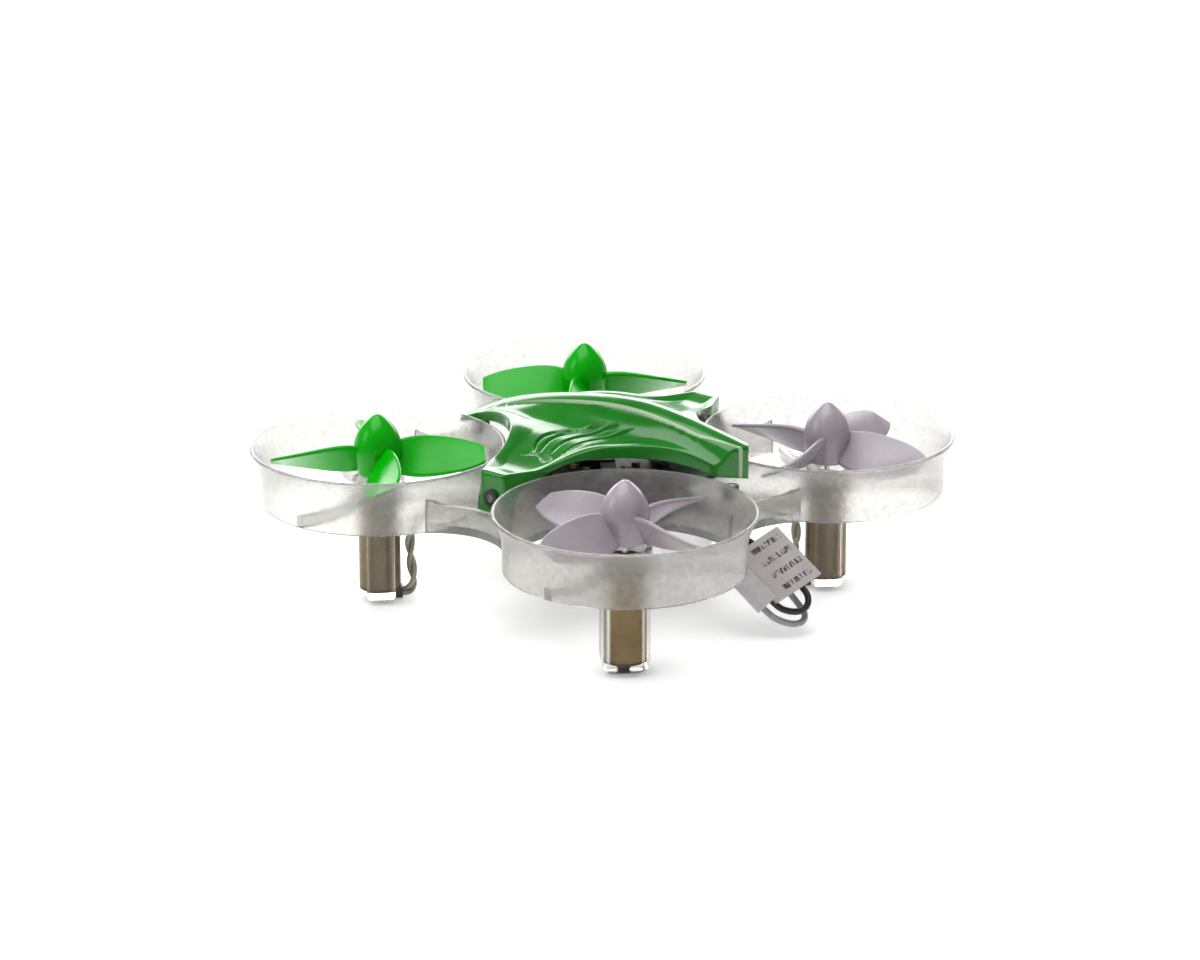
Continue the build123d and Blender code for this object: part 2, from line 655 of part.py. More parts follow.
# Each wire leaves the housing, turns back in a tight loop, passes behind the label, goes under the
# rear wall and up through the floor to the board.
housing_end = HOUSING_AT[0] + HOUSING[0]
BLACK_LOOP = [
    (housing_end, HOUSING_AT[1] + PIN_V[0], WIRE_DEPTH), (8.5, 7.7, WIRE_DEPTH), (10.0, 7.0, 1.9),
    (11.2, 5.8, 2.4), (11.3, 4.3, 3.0), (10.2, 3.3, 3.8), (8.5, 3.2, 4.4),
]
GREY_LOOP = [
    (housing_end, HOUSING_AT[1] + PIN_V[1], WIRE_DEPTH), (8.8, 9.3, WIRE_DEPTH), (10.6, 8.6, 2.3),
    (12.0, 7.6, 2.9), (12.6, 6.3, 3.8), (11.9, 5.4, 4.8), (10.3, 5.2, 5.5), (8.3, 5.0, 5.9),
]
BLACK_RISE = [(-4.9, 29.0, 9.4), (-3.2, 25.6, 12.0), (-1.7, 21.9, 14.0), (-0.95, 18.9, 15.9),
              (-0.9, 16.4, 17.2), (-0.9, 14.7, 17.9), (-0.9, 14.7, BOARD_Z)]
GREY_RISE = [(-2.6, 27.3, 9.6), (-1.0, 24.2, 11.8), (0.3, 21.2, 13.8), (0.85, 18.8, 15.8),
             (0.9, 16.4, 17.2), (0.9, 14.7, 17.9), (0.9, 14.7, BOARD_Z)]
for name, loop, rise in (("power_lead_black", BLACK_LOOP, BLACK_RISE),
                         ("power_lead_grey", GREY_LOOP, GREY_RISE)):
    stops = [on_label(*spot) for spot in loop] + [Vector(*spot) for spot in rise]
    save(tube(stops, route_radii(stops), WIRE_D), name)
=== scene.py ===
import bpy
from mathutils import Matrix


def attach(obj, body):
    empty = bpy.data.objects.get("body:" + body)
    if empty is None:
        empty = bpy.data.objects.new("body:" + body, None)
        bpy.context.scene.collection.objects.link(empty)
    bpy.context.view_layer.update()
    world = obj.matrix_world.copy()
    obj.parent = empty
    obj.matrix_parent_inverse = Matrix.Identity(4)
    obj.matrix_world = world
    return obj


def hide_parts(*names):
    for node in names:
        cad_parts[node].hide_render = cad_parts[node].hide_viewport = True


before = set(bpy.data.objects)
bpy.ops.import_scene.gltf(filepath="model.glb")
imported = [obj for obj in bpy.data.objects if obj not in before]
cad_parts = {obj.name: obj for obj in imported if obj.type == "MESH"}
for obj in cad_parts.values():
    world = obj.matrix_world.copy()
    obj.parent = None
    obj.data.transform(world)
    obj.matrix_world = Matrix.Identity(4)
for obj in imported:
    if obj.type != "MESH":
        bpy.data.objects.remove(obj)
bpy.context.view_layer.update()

from math import atan2, cos, exp, hypot, pi, sin, sqrt
import bmesh
import bpy
from mathutils import Vector

MM = 0.001
scene = bpy.context.scene


# ---------------------------------------------------------------- camera and studio
# A long lens looks down on the rear left duct from behind. The drone stands on a white table in a
# pale room, lit by a large lamp overhead, a broad one beyond it and a small one at its side.
camera_data = bpy.data.cameras.new("camera")
camera_data.lens = 125.7
camera_data.sensor_width = 36
camera_data.clip_start = 0.01
camera_data.clip_end = 20
camera = bpy.data.objects.new("camera", camera_data)
camera.location = (0.44039, 0.36804, 0.21050)
look = Vector((-0.72658, -0.60838, -0.31929))
camera.rotation_euler = look.to_track_quat("-Z", "Y").to_euler()
scene.collection.objects.link(camera)
scene.camera = camera
scene.view_settings.view_transform = "Standard"

world = bpy.data.worlds.new("pale_room")
scene.world = world
world.use_nodes = True
room = world.node_tree.nodes["Background"]
room.inputs["Color"].default_value = (1.0, 1.0, 1.0, 1)
room.inputs["Strength"].default_value = 0.3


def lamp(name, place, size, power):
    """Hang an area lamp that points at the drone."""
    data = bpy.data.lights.new(name, "AREA")
    data.shape = "RECTANGLE"
    data.size, data.size_y = size
    data.energy = power
    thing = bpy.data.objects.new(name, data)
    thing.location = place
    thing.rotation_euler = (-Vector(place)).to_track_quat("-Z", "Y").to_euler()
    scene.collection.objects.link(thing)


lamp("overhead_softbox", (0.15, -0.10, 0.90), (0.9, 0.9), 9.5)
lamp("backdrop_softbox", (-0.66, -0.55, 0.27), (1.5, 0.38), 8.5)
lamp("side_softbox", (0.55, -0.45, 0.35), (0.3, 0.3), 0.9)

table = bmesh.new()
bmesh.ops.create_grid(table, x_segments=2, y_segments=2, size=3.0)
table_mesh = bpy.data.meshes.new("table")
table.to_mesh(table_mesh)
table.free()
table_top = bpy.data.objects.new("table", table_mesh)
scene.collection.objects.link(table_top)
table_white = bpy.data.materials.new("table_white")
table_white.use_nodes = True
table_shader = table_white.node_tree.nodes["Principled BSDF"]
table_shader.inputs["Base Color"].default_value = (0.97, 0.97, 0.97, 1)
table_shader.inputs["Roughness"].default_value = 0.9
table_shader.inputs["Specular IOR Level"].default_value = 0.1
table_shader.inputs["Emission Color"].default_value = (1, 1, 1, 1)
table_shader.inputs["Emission Strength"].default_value = 0.3
table_mesh.materials.append(table_white)


# ---------------------------------------------------------------- power lead
# Two silicone wires leave the board, drop through the floor, pass behind the film label and turn
# back in a tight loop into the white two-way housing.
def finish(name, pale, deep, rough, patch=900, grain=9000, relief=0.00001, metal=0.0, coat=0.0,
           shine=0.5):
    """Procedural surface: mottled colour, uneven roughness and a fine relief, on object places."""
    made = bpy.data.materials.new(name)
    made.use_nodes = True
    tree = made.node_tree
    shader = tree.nodes["Principled BSDF"]
    shader.inputs["Metallic"].default_value = metal
    shader.inputs["Coat Weight"].default_value = coat
    shader.inputs["Specular IOR Level"].default_value = shine
    shader.inputs["Coat Roughness"].default_value = 0.08
    spot = tree.nodes.new("ShaderNodeTexCoord")
    cloud = tree.nodes.new("ShaderNodeTexNoise")
    cloud.inputs["Scale"].default_value = patch
    cloud.inputs["Detail"].default_value = 4
    tree.links.new(spot.outputs["Object"], cloud.inputs["Vector"])
    ramp = tree.nodes.new("ShaderNodeValToRGB")
    ramp.color_ramp.elements[0].position = 0.3
    ramp.color_ramp.elements[0].color = (*deep, 1)
    ramp.color_ramp.elements[1].position = 0.7
    ramp.color_ramp.elements[1].color = (*pale, 1)
    tree.links.new(cloud.outputs["Fac"], ramp.inputs["Fac"])
    tree.links.new(ramp.outputs["Color"], shader.inputs["Base Color"])
    wear = tree.nodes.new("ShaderNodeMapRange")
    wear.inputs["To Min"].default_value = rough * 0.8
    wear.inputs["To Max"].default_value = min(1.0, rough * 1.25)
    tree.links.new(cloud.outputs["Fac"], wear.inputs["Value"])
    tree.links.new(wear.outputs["Result"], shader.inputs["Roughness"])
    dust = tree.nodes.new("ShaderNodeTexNoise")
    dust.inputs["Scale"].default_value = grain
    dust.inputs["Detail"].default_value = 3
    tree.links.new(spot.outputs["Object"], dust.inputs["Vector"])
    bump = tree.nodes.new("ShaderNodeBump")
    bump.inputs["Strength"].default_value = 0.6
    bump.inputs["Distance"].default_value = relief
    tree.links.new(dust.outputs["Fac"], bump.inputs["Height"])
    tree.links.new(bump.outputs["Normal"], shader.inputs["Normal"])
    return made


def dress(start, material):
    """Give a finish to every CAD node whose name begins so."""
    for name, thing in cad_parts.items():
        if name.startswith(start):
            thing.data.materials.clear()
            thing.data.materials.append(material)


def cord_curve(name, points, diameter, material):
    """One smooth NURBS cord through its control points."""
    data = bpy.data.curves.new(name, "CURVE")
    data.dimensions = "3D"
    line = data.splines.new("NURBS")
    line.points.add(len(points) - 1)
    for stop, point in zip(line.points, points):
        stop.co = (*point, 1)
    line.order_u = 3
    line.use_endpoint_u = True
    line.resolution_u = 12
    data.bevel_depth = diameter / 2
    data.bevel_resolution = 5
    data.use_fill_caps = True
    thing = bpy.data.objects.new(name, data)
    scene.collection.objects.link(thing)
    if material:
        data.materials.append(material)
    return thing


WIRE = 0.95 * MM
LABEL_CORNER = Vector((-2.6, 29.6, 16.0))
label_u = Vector((-2.36, 6.11, -6.26)).normalized()
label_out = label_u.cross(Vector((5.36, -4.12, -4.33))).normalized() * -1
label_v = label_u.cross(label_out).normalized()


def on_label(u, v, depth):
    """Place at u and v along the label's sides, in millimetres, and depth behind its face."""
    return LABEL_CORNER + label_u * u + label_v * v - label_out * depth


black_route = [on_label(*spot) for spot in (
    (7.2, 7.7, 1.75), (8.5, 7.7, 1.75), (10.0, 7.0, 1.9), (11.2, 5.8, 2.4), (11.3, 4.3, 3.0),
    (10.2, 3.3, 3.8), (8.5, 3.2, 4.4))]
black_route += [Vector(spot) for spot in (
    (-4.9, 29.0, 9.4), (-3.2, 25.6, 12.0), (-1.7, 21.9, 14.0), (-0.95, 18.9, 15.9),
    (-0.9, 16.4, 17.2), (-0.9, 14.7, 17.9), (-0.9, 14.7, 19.2))]
grey_route = [on_label(*spot) for spot in (
    (7.2, 9.3, 1.75), (8.8, 9.3, 1.75), (10.6, 8.6, 2.3), (12.0, 7.6, 2.9), (12.6, 6.3, 3.8),
    (11.9, 5.4, 4.8), (10.3, 5.2, 5.5), (8.3, 5.0, 5.9))]
grey_route += [Vector(spot) for spot in (
    (-2.6, 27.3, 9.6), (-1.0, 24.2, 11.8), (0.3, 21.2, 13.8), (0.85, 18.8, 15.8),
    (0.9, 16.4, 17.2), (0.9, 14.7, 17.9), (0.9, 14.7, 19.2))]

# The label is a film flag over the housing: nearly flat, with its lower left edge turned back. In
# place of print it has rows of broken dark strokes that spell nothing.
LABEL_LONG = 9.2
LABEL_WIDE = 8.0
FLAG_STEPS = 32
FOLD_FROM = 0.72           # share of the width that stays flat
FOLD_ANGLE = 1.1
FOLD_DEPTH = 1.5
FILM_BOW = 0.25
FILM_THICK = 0.18
ROW_SCALE = 1.32           # gives four rows of strokes
ROW_SHIFT = -0.54
flag_v = Vector((0.670, -0.524, -0.526)).normalized()
flag = bmesh.new()
bmesh.ops.create_grid(flag, x_segments=FLAG_STEPS, y_segments=FLAG_STEPS, size=0.5)
print_map = flag.loops.layers.uv.new("print")
for face in flag.faces:
    for corner in face.loops:
        corner[print_map].uv = (corner.vert.co.x + 0.5, corner.vert.co.y + 0.5)
for v in flag.verts:
    a, b = v.co.x + 0.5, v.co.y + 0.5
    past = max(0.0, b - FOLD_FROM) / (1 - FOLD_FROM)
    flat = min(b, FOLD_FROM)
    turned = (1 - FOLD_FROM) * sin(past * FOLD_ANGLE) / FOLD_ANGLE
    spot = (LABEL_CORNER + label_u * a * LABEL_LONG + flag_v * (flat + turned) * LABEL_WIDE
            - label_out * (FOLD_DEPTH * past ** 2 + FILM_BOW * sin(pi * a)))
    v.co = spot * MM
bmesh.ops.recalc_face_normals(flag, faces=flag.faces)
bmesh.ops.solidify(flag, geom=list(flag.faces), thickness=FILM_THICK * MM)
flag_mesh = bpy.data.meshes.new("label_flag")
flag.to_mesh(flag_mesh)
flag.free()
for face in flag_mesh.polygons:
    face.use_smooth = True
label_film = finish("label_film", (0.47, 0.435, 0.43), (0.41, 0.38, 0.375), 0.5, patch=300, grain=4000)
tree = label_film.node_tree
uv_map = tree.nodes.new("ShaderNodeUVMap")
uv_map.uv_map = "print"
rows = tree.nodes.new("ShaderNodeTexWave")
rows.wave_type = "BANDS"
rows.bands_direction = "X"
rows.inputs["Scale"].default_value = ROW_SCALE
rows.inputs["Phase Offset"].default_value = ROW_SHIFT
tree.links.new(uv_map.outputs["UV"], rows.inputs["Vector"])
stretch = tree.nodes.new("ShaderNodeMapping")
stretch.inputs["Scale"].default_value = (5, 26, 1)
tree.links.new(uv_map.outputs["UV"], stretch.inputs["Vector"])
dashes = tree.nodes.new("ShaderNodeTexNoise")
dashes.inputs["Scale"].default_value = 1.0
tree.links.new(stretch.outputs["Vector"], dashes.inputs["Vector"])
edge = tree.nodes.new("ShaderNodeSeparateXYZ")
tree.links.new(uv_map.outputs["UV"], edge.inputs["Vector"])
masks = []
for value, low, high in ((rows.outputs["Fac"], 0.62, 0.72), (dashes.outputs["Fac"], 0.47, 0.53),
                         (edge.outputs["Y"], 0.06, 0.09), (edge.outputs["Y"], 0.68, 0.65)):
    mask = tree.nodes.new("ShaderNodeMapRange")
    mask.inputs["From Min"].default_value = low
    mask.inputs["From Max"].default_value = high
    tree.links.new(value, mask.inputs["Value"])
    masks.append(mask.outputs["Result"])
while len(masks) > 1:
    both = tree.nodes.new("ShaderNodeMath")
    both.operation = "MULTIPLY"
    tree.links.new(masks.pop(), both.inputs[0])
    tree.links.new(masks.pop(), both.inputs[1])
    masks.append(both.outputs["Value"])
ink = tree.nodes.new("ShaderNodeMix")
ink.data_type = "RGBA"
tree.links.new(masks[0], ink.inputs["Factor"])
film_shader = tree.nodes["Principled BSDF"]
tree.links.new(film_shader.inputs["Base Color"].links[0].from_socket, ink.inputs[6])
ink.inputs[7].default_value = (0.06, 0.055, 0.05, 1)
tree.links.new(ink.outputs[2], film_shader.inputs["Base Color"])
flag_mesh.materials.append(label_film)
flag_piece = bpy.data.objects.new("label_flag", flag_mesh)
scene.collection.objects.link(flag_piece)
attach(flag_piece, "airframe")
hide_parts("flag_label")

# the wires themselves, from the board to the housing
black_silicone = finish("black_silicone", (0.02, 0.02, 0.022), (0.008, 0.008, 0.009), 0.38,
                        patch=700, relief=0.000006)
grey_silicone = finish("grey_silicone", (0.34, 0.34, 0.35), (0.24, 0.24, 0.25), 0.42, patch=700,
                       relief=0.000006)
for name, route, length, skin, on_it in (
    ("power_wire_black", black_route, 0.0317, black_silicone,
     [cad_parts["power_connector"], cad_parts["power_contacts"]]),
    ("power_wire_grey", grey_route, 0.0347, grey_silicone, [flag_piece]),
):
    route = [spot * MM for spot in reversed(route)]
    wire = cord_curve(name, route, WIRE, skin)
    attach(wire, "airframe")
    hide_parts("power_lead_" + name.split("_")[-1])
dress("power_connector", finish("housing_nylon", (0.55, 0.52, 0.53), (0.46, 0.44, 0.45), 0.45))
dress("power_contacts", finish("contact_tin", (0.7, 0.7, 0.72), (0.5, 0.5, 0.52), 0.25, metal=1.0))


# ---------------------------------------------------------------- motor leads
# Each motor has two thin vinyl wires twisted together. They leave the lug at the bottom of the can,
# stand a little off it, and turn in under the duct to the board.
LEAD_ROUTE = [
    (3.2, 1.05), (4.0, 1.05), (4.6, 1.75), (4.85, 2.7), (4.7, 4.3), (4.3, 7.2), (4.5, 10.2),
    (5.6, 12.6), (8.0, 13.9), (12.6, 13.75), (17.0, 14.1), (19.2, 15.6), (20.2, 17.5), (20.22, 19.2),
]
STRAND = 0.74 * MM
STRAND_OFFSET = 0.36 * MM
TWIST = 7.4 * MM           # length of one full turn
FIRST_TURN = 0.6
vinyl = [
    finish("vinyl_olive", (0.30, 0.29, 0.20), (0.20, 0.19, 0.13), 0.35, patch=600),
    finish("vinyl_grey", (0.38, 0.37, 0.29), (0.27, 0.26, 0.20), 0.35, patch=600),
]
CORNERS = {"front_left": (1, -1), "front_right": (-1, -1), "rear_left": (1, 1), "rear_right": (-1, 1)}
HALF_TRACK = 23.0
for corner, (sx, sy) in CORNERS.items():
    axis = Vector((sx, sy, 0)) * HALF_TRACK
    inward = Vector((-sx, -sy, 0)).normalized()
    across = inward.cross(Vector((0, 0, 1)))
    route = [(axis + inward * d + Vector((0, 0, z))) * MM for d, z in LEAD_ROUTE]
    guide = cord_curve("lead_guide", route, 0.0, None)
    line = bpy.data.meshes.new_from_object(guide)
    spots = [v.co.copy() for v in line.vertices]
    bpy.data.objects.remove(guide)
    bpy.data.meshes.remove(line)
    for side in (0, 1):
        data = bpy.data.curves.new(f"lead_strand_{corner}_{side}", "CURVE")
        data.dimensions = "3D"
        strand = data.splines.new("POLY")
        strand.points.add(len(spots) - 1)
        gone = 0.0
        for i, spot in enumerate(spots):
            ahead = (spots[min(i + 1, len(spots) - 1)] - spots[max(i - 1, 0)]).normalized()
            gone += (spot - spots[i - 1]).length if i else 0.0
            turn = 2 * pi * gone / TWIST + pi * side + FIRST_TURN
            away = across * cos(turn) + ahead.cross(across) * sin(turn)
            strand.points[i].co = (*(spot + away * STRAND_OFFSET), 1)
        data.bevel_depth = STRAND / 2
        data.bevel_resolution = 4
        data.use_fill_caps = True
        shape = bpy.data.objects.new("strand_guide", data)
        strand_mesh = bpy.data.meshes.new_from_object(shape)
        bpy.data.objects.remove(shape)
        strand_mesh.materials.clear()
        strand_mesh.materials.append(vinyl[side])
        piece = bpy.data.objects.new(f"motor_lead_{corner}_{'ab'[side]}", strand_mesh)
        scene.collection.objects.link(piece)
        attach(piece, "airframe")
        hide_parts(f"motor_lead_{corner}")


# ---------------------------------------------------------------- canopy
# One thin glossy shell in moulded green: a star between the ducts with a raised ridge from nose to
# tail, dished wings with curved gills, and plates turned down on the left and right. It is drawn
# without the holes for the frame's pegs.
def curve_through(points, at):
    """Smooth height at a place, through (place, height) points in rising order."""
    if at <= points[0][0]:
        return points[0][1]
    if at >= points[-1][0]:
        return points[-1][1]
    i = max(k for k in range(len(points) - 1) if points[k][0] <= at)
    before, start, end, after = (points[min(max(k, 0), len(points) - 1)] for k in range(i - 1, i + 3))
    span = end[0] - start[0]
    t = (at - start[0]) / span
    slope_in = (end[1] - before[1]) / (end[0] - before[0]) * span
    slope_out = (after[1] - start[1]) / (after[0] - start[0]) * span
    return ((2 * t ** 3 - 3 * t ** 2 + 1) * start[1] + (t ** 3 - 2 * t ** 2 + t) * slope_in
            + (3 * t ** 2 - 2 * t ** 3) * end[1] + (t ** 3 - t ** 2) * slope_out)


RIDGE = [(-27, 21.7), (-24, 23.3), (-18, 26.0), (-10, 28.3), (0, 30.1), (7, 30.55), (14, 29.9),
         (20, 28.9), (26.4, 27.7)]
HEM_ENDS = [(-27, 20.9), (-21, 22.9), (-14, 24.2), (0, 24.9), (14, 24.8), (21, 24.1), (26.6, 23.0)]
HEM_SIDES = [(0, 25.0), (14, 24.7), (19, 23.2), (22.2, 21.2), (23.2, 17.9), (25, 17.9)]
RIDGE_HALF = 2.2
RIDGE_CROWN = 0.75         # rise of the ridge's middle over its edges
RIDGE_STEP = 0.95          # drop from the ridge to the top of its flank
FLANK_RUN = 1.8            # how quickly the flank runs out into the wing
PLATE_Z = 26.6
PLATE_FALL = 2.1           # from the wing to the side plates
TAIL_FALLS_FROM = 12
TAIL_FALL = 0.02
NOSE_FALLS_FROM = 6
NOSE_FALL = 0.011
DISH = 0.6                 # hollow of the wing inside its rim
RIM_ROUND = 0.35
CANOPY_R = 18.95
CANOPY_WALL = 0.6
NOSE_Y = 26.9
TAIL_Y = 26.4
NOSE_SLOPE = 0.72
SIDE_X = 24.35
SIDE_TAPER = 0.49
TAPER_AT = (19.5, 4.4)     # a place on the side plate's slanted edge
TAPER_STOPS = 0.35         # the slant stays on the side plates
FLARE_FROM = 24.0          # the side plates widen below this height
FLARE_OVER = 5.4
# gills in each wing: (outer end x, y), (inner end x, y), bow towards the nose, widest half-width
GILLS = [
    ((14.8, -0.6), (5.6, 0.9), 2.6, 0.75), ((14.9, 0.4), (3.9, 3.6), 2.7, 0.75),
    ((14.7, 2.1), (3.4, 6.4), 2.5, 0.7), ((13.9, 3.8), (3.8, 8.6), 2.0, 0.45),
    ((15.8, -2.2), (15.8, 3.2), 0.9, 0.32),
]
GILL_DEPTH = 0.55


def gill_depth(x, y):
    """How far a place in the wing is sunk by the nearest gill."""
    deepest = 0.0
    if not (2 < x < 17 and -5 < y < 11):
        return 0.0
    for (x0, y0), (x1, y1), bow, wide in GILLS:
        run = hypot(x1 - x0, y1 - y0)
        along = ((x - x0) * (x1 - x0) + (y - y0) * (y1 - y0)) / run ** 2
        off = ((x - x0) * (y1 - y0) - (y - y0) * (x1 - x0)) / run
        if not 0 < along < 1:
            continue
        half = wide * (0.25 + 0.75 * along) * min(1.0, 9 * along, 9 * (1 - along))
        gap = half - abs(off + bow * 4 * along * (1 - along))
        deepest = max(deepest, GILL_DEPTH * smooth_step(-0.05, 0.16, gap))
    return deepest


def smooth_step(low, high, value):
    """Ease from 0 at low to 1 at high."""
    t = min(1.0, max(0.0, (value - low) / (high - low)))
    return t * t * (3 - 2 * t)


def roof_height(x, y):
    """Height of the canopy's outer skin, before its rim is rounded."""
    top = curve_through(RIDGE, y)
    out = abs(x)
    drop = (TAIL_FALL * max(0.0, y - TAIL_FALLS_FROM) ** 2
            + NOSE_FALL * max(0.0, -y - NOSE_FALLS_FROM) ** 2)
    plate = PLATE_Z - PLATE_FALL * smooth_step(9, 20, out) - drop
    if out <= RIDGE_HALF:
        return top - RIDGE_CROWN * (out / RIDGE_HALF) ** 2
    return plate + (top - RIDGE_STEP - plate) * exp((RIDGE_HALF - out) / FLANK_RUN)


def rim_radius(turn, tapered=True):
    """Distance from the middle to the canopy's rim in a direction."""
    c = abs(cos(turn))
    s = abs(sin(turn))
    end = TAIL_Y if sin(turn) > 0 else NOSE_Y
    reach = min(SIDE_X / max(c, 1e-6), end / (s + NOSE_SLOPE * c))
    if tapered and s < TAPER_STOPS * c:
        reach = min(reach, (TAPER_AT[1] + SIDE_TAPER * TAPER_AT[0]) / (s + SIDE_TAPER * c))
    off = atan2(s, c) - pi / 4
    far = HALF_TRACK * sqrt(2)
    gap = CANOPY_R ** 2 - (far * sin(off)) ** 2
    if gap > 0:
        reach = min(reach, far * cos(off) - sqrt(gap))
    return reach


SPOKES = 384
RINGS = 112
SKIRT = 8                  # rings down the turned-down edge
HUB = 0.4                  # radius of the middle face
CROWDING = 0.8             # below 1 packs the rings towards the rim
canopy = bmesh.new()
bmesh.ops.create_circle(canopy, cap_ends=True, segments=SPOKES, radius=HUB)
loop = list(canopy.edges)
for ring_at in range(1, RINGS + SKIRT + 1):
    made = bmesh.ops.extrude_edge_only(canopy, edges=loop)["geom"]
    loop = [g for g in made if isinstance(g, bmesh.types.BMEdge)]
    for v in {v for e in loop for v in e.verts}:
        turn = atan2(v.co.y, v.co.x)
        edge = rim_radius(turn)
        share = min(1.0, ring_at / RINGS) ** CROWDING
        reach = HUB + (edge - HUB) * share
        v.co = (reach * cos(turn), reach * sin(turn), max(0, ring_at - RINGS))
for v in canopy.verts:
    x, y, down = v.co
    turn = atan2(y, x)
    inside = rim_radius(turn) - hypot(x, y)
    z = roof_height(x, y)
    z -= DISH * smooth_step(0.8, 4.0, inside) * smooth_step(2.6, 6.0, abs(x))
    z -= gill_depth(abs(x), y)
    if inside < RIM_ROUND:
        z -= RIM_ROUND - sqrt(max(0.0, RIM_ROUND ** 2 - (RIM_ROUND - inside) ** 2))
    if down:
        hem = min(curve_through(HEM_ENDS, y), curve_through(HEM_SIDES, abs(x)))
        z += (hem - z) * down / SKIRT
        spread = rim_radius(turn, tapered=False) / rim_radius(turn)
        grow = 1 + (spread - 1) * min(1.0, max(0.0, (FLARE_FROM - z) / FLARE_OVER))
        x, y = x * grow, y * grow
    v.co = (x * MM, y * MM, z * MM)
bmesh.ops.recalc_face_normals(canopy, faces=canopy.faces)
canopy_mesh = bpy.data.meshes.new("canopy")
canopy.to_mesh(canopy_mesh)
canopy.free()
for face in canopy_mesh.polygons:
    face.use_smooth = True
canopy_green = finish("canopy_green", (0.0, 0.19, 0.001), (0.0, 0.14, 0.001), 0.17, patch=200,
                      grain=2500, relief=0.000004, shine=0.5)
# painted highlight beside the ridge, where its edge crease catches the light: a narrow pale band 2 mm
# either side, closing in at the tail
tree = canopy_green.node_tree
shader = tree.nodes["Principled BSDF"]
place = tree.nodes.new("ShaderNodeSeparateXYZ")
spot = [n for n in tree.nodes if n.bl_idname == "ShaderNodeTexCoord"][0]
tree.links.new(spot.outputs["Object"], place.inputs["Vector"])


def maths(kind, first, second=None):
    """A maths node on a link or a number."""
    node = tree.nodes.new("ShaderNodeMath")
    node.operation = kind
    for socket, value in zip(node.inputs, (first, second)):
        if isinstance(value, (int, float)):
            socket.default_value = value
        elif value is not None:
            tree.links.new(value, socket)
    return node.outputs["Value"]


LINE_AT = 0.00205
CLOSES_FROM = 0.019
CLOSING = 0.17
LINE_ENDS_AT = 0.00024     # half-width where the painted highlight is gone
LINE_FULL_AT = 0.00014     # half-width up to which the painted highlight is full
LINE_STARTS = -0.022
LINE_BRIGHT = -0.004
# pale green of the painted highlight on the ridge's edge crease
PAINTED_HIGHLIGHT_COLOUR = (0.30, 0.42, 0.25, 1)
past = maths("MAXIMUM", maths("SUBTRACT", place.outputs["Y"], CLOSES_FROM), 0.0)
off_ridge = maths("SUBTRACT", maths("ABSOLUTE", place.outputs["X"]), LINE_AT)
apart = maths("ABSOLUTE", maths("ADD", off_ridge, maths("MULTIPLY", past, CLOSING)))
band = tree.nodes.new("ShaderNodeMapRange")
band.inputs["From Min"].default_value = LINE_ENDS_AT
band.inputs["From Max"].default_value = LINE_FULL_AT
tree.links.new(apart, band.inputs["Value"])
fore = tree.nodes.new("ShaderNodeMapRange")
fore.inputs["From Min"].default_value = LINE_STARTS
fore.inputs["From Max"].default_value = LINE_BRIGHT
tree.links.new(place.outputs["Y"], fore.inputs["Value"])
# mix the painted highlight into the canopy's green base colour
painted_highlight_mix = tree.nodes.new("ShaderNodeMix")
painted_highlight_mix.data_type = "RGBA"
tree.links.new(maths("MULTIPLY", band.outputs["Result"], fore.outputs["Result"]),
               painted_highlight_mix.inputs["Factor"])
tree.links.new(shader.inputs["Base Color"].links[0].from_socket, painted_highlight_mix.inputs[6])
painted_highlight_mix.inputs[7].default_value = PAINTED_HIGHLIGHT_COLOUR
tree.links.new(painted_highlight_mix.outputs[2], shader.inputs["Base Color"])
canopy_mesh.materials.append(canopy_green)
canopy_piece = bpy.data.objects.new("canopy", canopy_mesh)
scene.collection.objects.link(canopy_piece)
wall = canopy_piece.modifiers.new("wall", "SOLIDIFY")
wall.thickness = CANOPY_WALL * MM
wall.offset = -1
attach(canopy_piece, "airframe")
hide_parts("canopy_shell")
dress("canopy_grommets", finish("grommet_rubber", (0.02, 0.02, 0.02), (0.008, 0.008, 0.008), 0.55))


# ---------------------------------------------------------------- ducts and centre frame
# The frame is one moulding in milky, half-clear plastic, with a mottled surface from the tool.
frame_milky = finish("frame_milky", (0.80, 0.785, 0.765), (0.62, 0.605, 0.58), 0.24, patch=1200,
                     grain=5000, relief=0.00006)
milky_shader = frame_milky.node_tree.nodes["Principled BSDF"]
milky_shader.inputs["Transmission Weight"].default_value = 0.9
milky_shader.inputs["IOR"].default_value = 1.34
dress("duct_", frame_milky)
dress("centre_frame", frame_milky)


# ---------------------------------------------------------------- straps
# A band of clear film runs down one side of each motor, under it and up the other, with a domed
# clear foot below the can.
strap_clear = finish("strap_clear", (0.86, 0.83, 0.77), (0.74, 0.70, 0.62), 0.08, patch=1800,
                     relief=0.00003)
strap_shader = strap_clear.node_tree.nodes["Principled BSDF"]
strap_shader.inputs["Transmission Weight"].default_value = 1.0
strap_shader.inputs["IOR"].default_value = 1.46
dress("motor_strap", strap_clear)


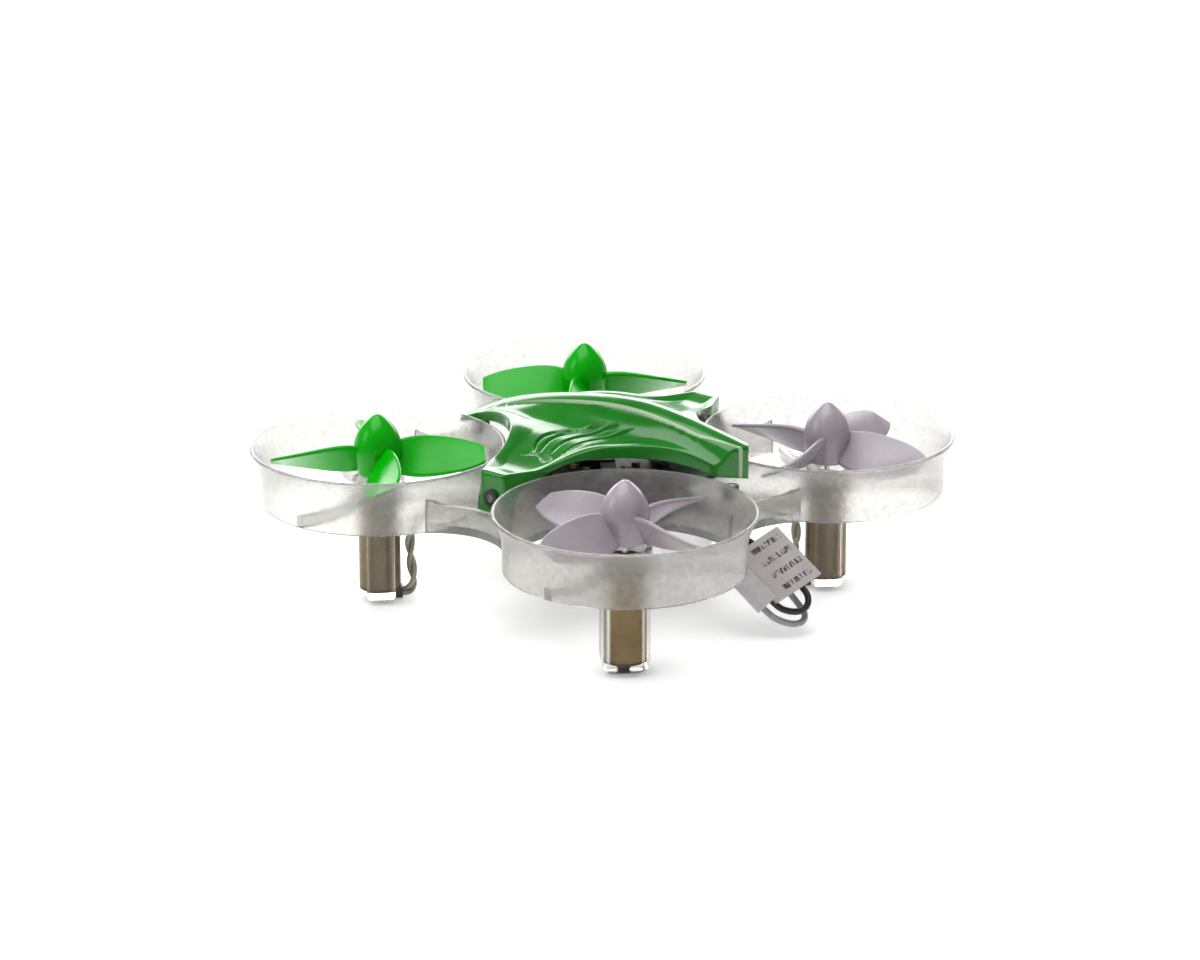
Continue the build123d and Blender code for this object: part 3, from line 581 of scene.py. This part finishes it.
# ---------------------------------------------------------------- motors
# Drawn steel cans, a dull brown, with a near-black end cap; the magnet, coil and commutator are
# inside.
dress("motor_can", finish("can_steel", (0.185, 0.137, 0.073), (0.12, 0.09, 0.045), 0.36, patch=250,
                          metal=1.0))
dress("motor_end_cap", finish("end_cap_black", (0.05, 0.045, 0.028), (0.025, 0.022, 0.013), 0.5))
dress("motor_magnet", finish("magnet_nickel", (0.5, 0.5, 0.5), (0.35, 0.35, 0.36), 0.3, metal=1.0))
brass = finish("bush_brass", (0.75, 0.55, 0.22), (0.6, 0.42, 0.15), 0.25, metal=1.0)
dress("motor_bushes", brass)
dress("motor_brushes", brass)
dress("motor_commutator", brass)
dress("motor_coil", finish("coil_copper", (0.75, 0.32, 0.14), (0.5, 0.18, 0.07), 0.35, metal=1.0))
dress("motor_shaft", finish("shaft_steel", (0.7, 0.7, 0.72), (0.55, 0.55, 0.57), 0.18, metal=1.0))


# ---------------------------------------------------------------- propellers
# Four-bladed and moulded in one shot: green at the front, pale lilac grey at the rear.
dress("propeller_front", finish("propeller_green", (0.0, 0.42, 0.0), (0.0, 0.34, 0.0), 0.2,
                                patch=200, grain=3000, relief=0.000004, shine=0.25))
dress("propeller_rear", finish("propeller_white", (0.37, 0.325, 0.365), (0.30, 0.262, 0.295), 0.24,
                               patch=200, grain=3000, relief=0.000004))


# ---------------------------------------------------------------- flight board and battery
# A dark laminate with its chips sits under the canopy; a foil cell hangs below the floor.
dress("flight_board", finish("laminate", (0.015, 0.03, 0.02), (0.008, 0.015, 0.01), 0.4))
dress("board_screws", finish("screw_black", (0.2, 0.2, 0.2), (0.12, 0.12, 0.12), 0.35, metal=1.0))
chip = finish("chip_black", (0.03, 0.03, 0.032), (0.015, 0.015, 0.016), 0.45)
dress("processor", chip)
dress("motor_transistors", chip)
dress("receiver_can", finish("can_tin", (0.75, 0.75, 0.76), (0.6, 0.6, 0.62), 0.3, metal=1.0))
dress("motor_sockets", finish("socket_nylon", (0.8, 0.78, 0.72), (0.7, 0.68, 0.62), 0.5))
dress("board_capacitors", finish("capacitor_tan", (0.45, 0.25, 0.1), (0.3, 0.16, 0.06), 0.4))
dress("status_lamp", finish("lamp_red", (0.8, 0.02, 0.01), (0.6, 0.01, 0.01), 0.2, coat=0.5))
dress("battery_cell", finish("cell_foil", (0.66, 0.66, 0.68), (0.55, 0.55, 0.57), 0.3, patch=150,
                             metal=1.0))
dress("battery_end_tape", finish("tape_amber", (0.6, 0.3, 0.04), (0.45, 0.2, 0.02), 0.25))
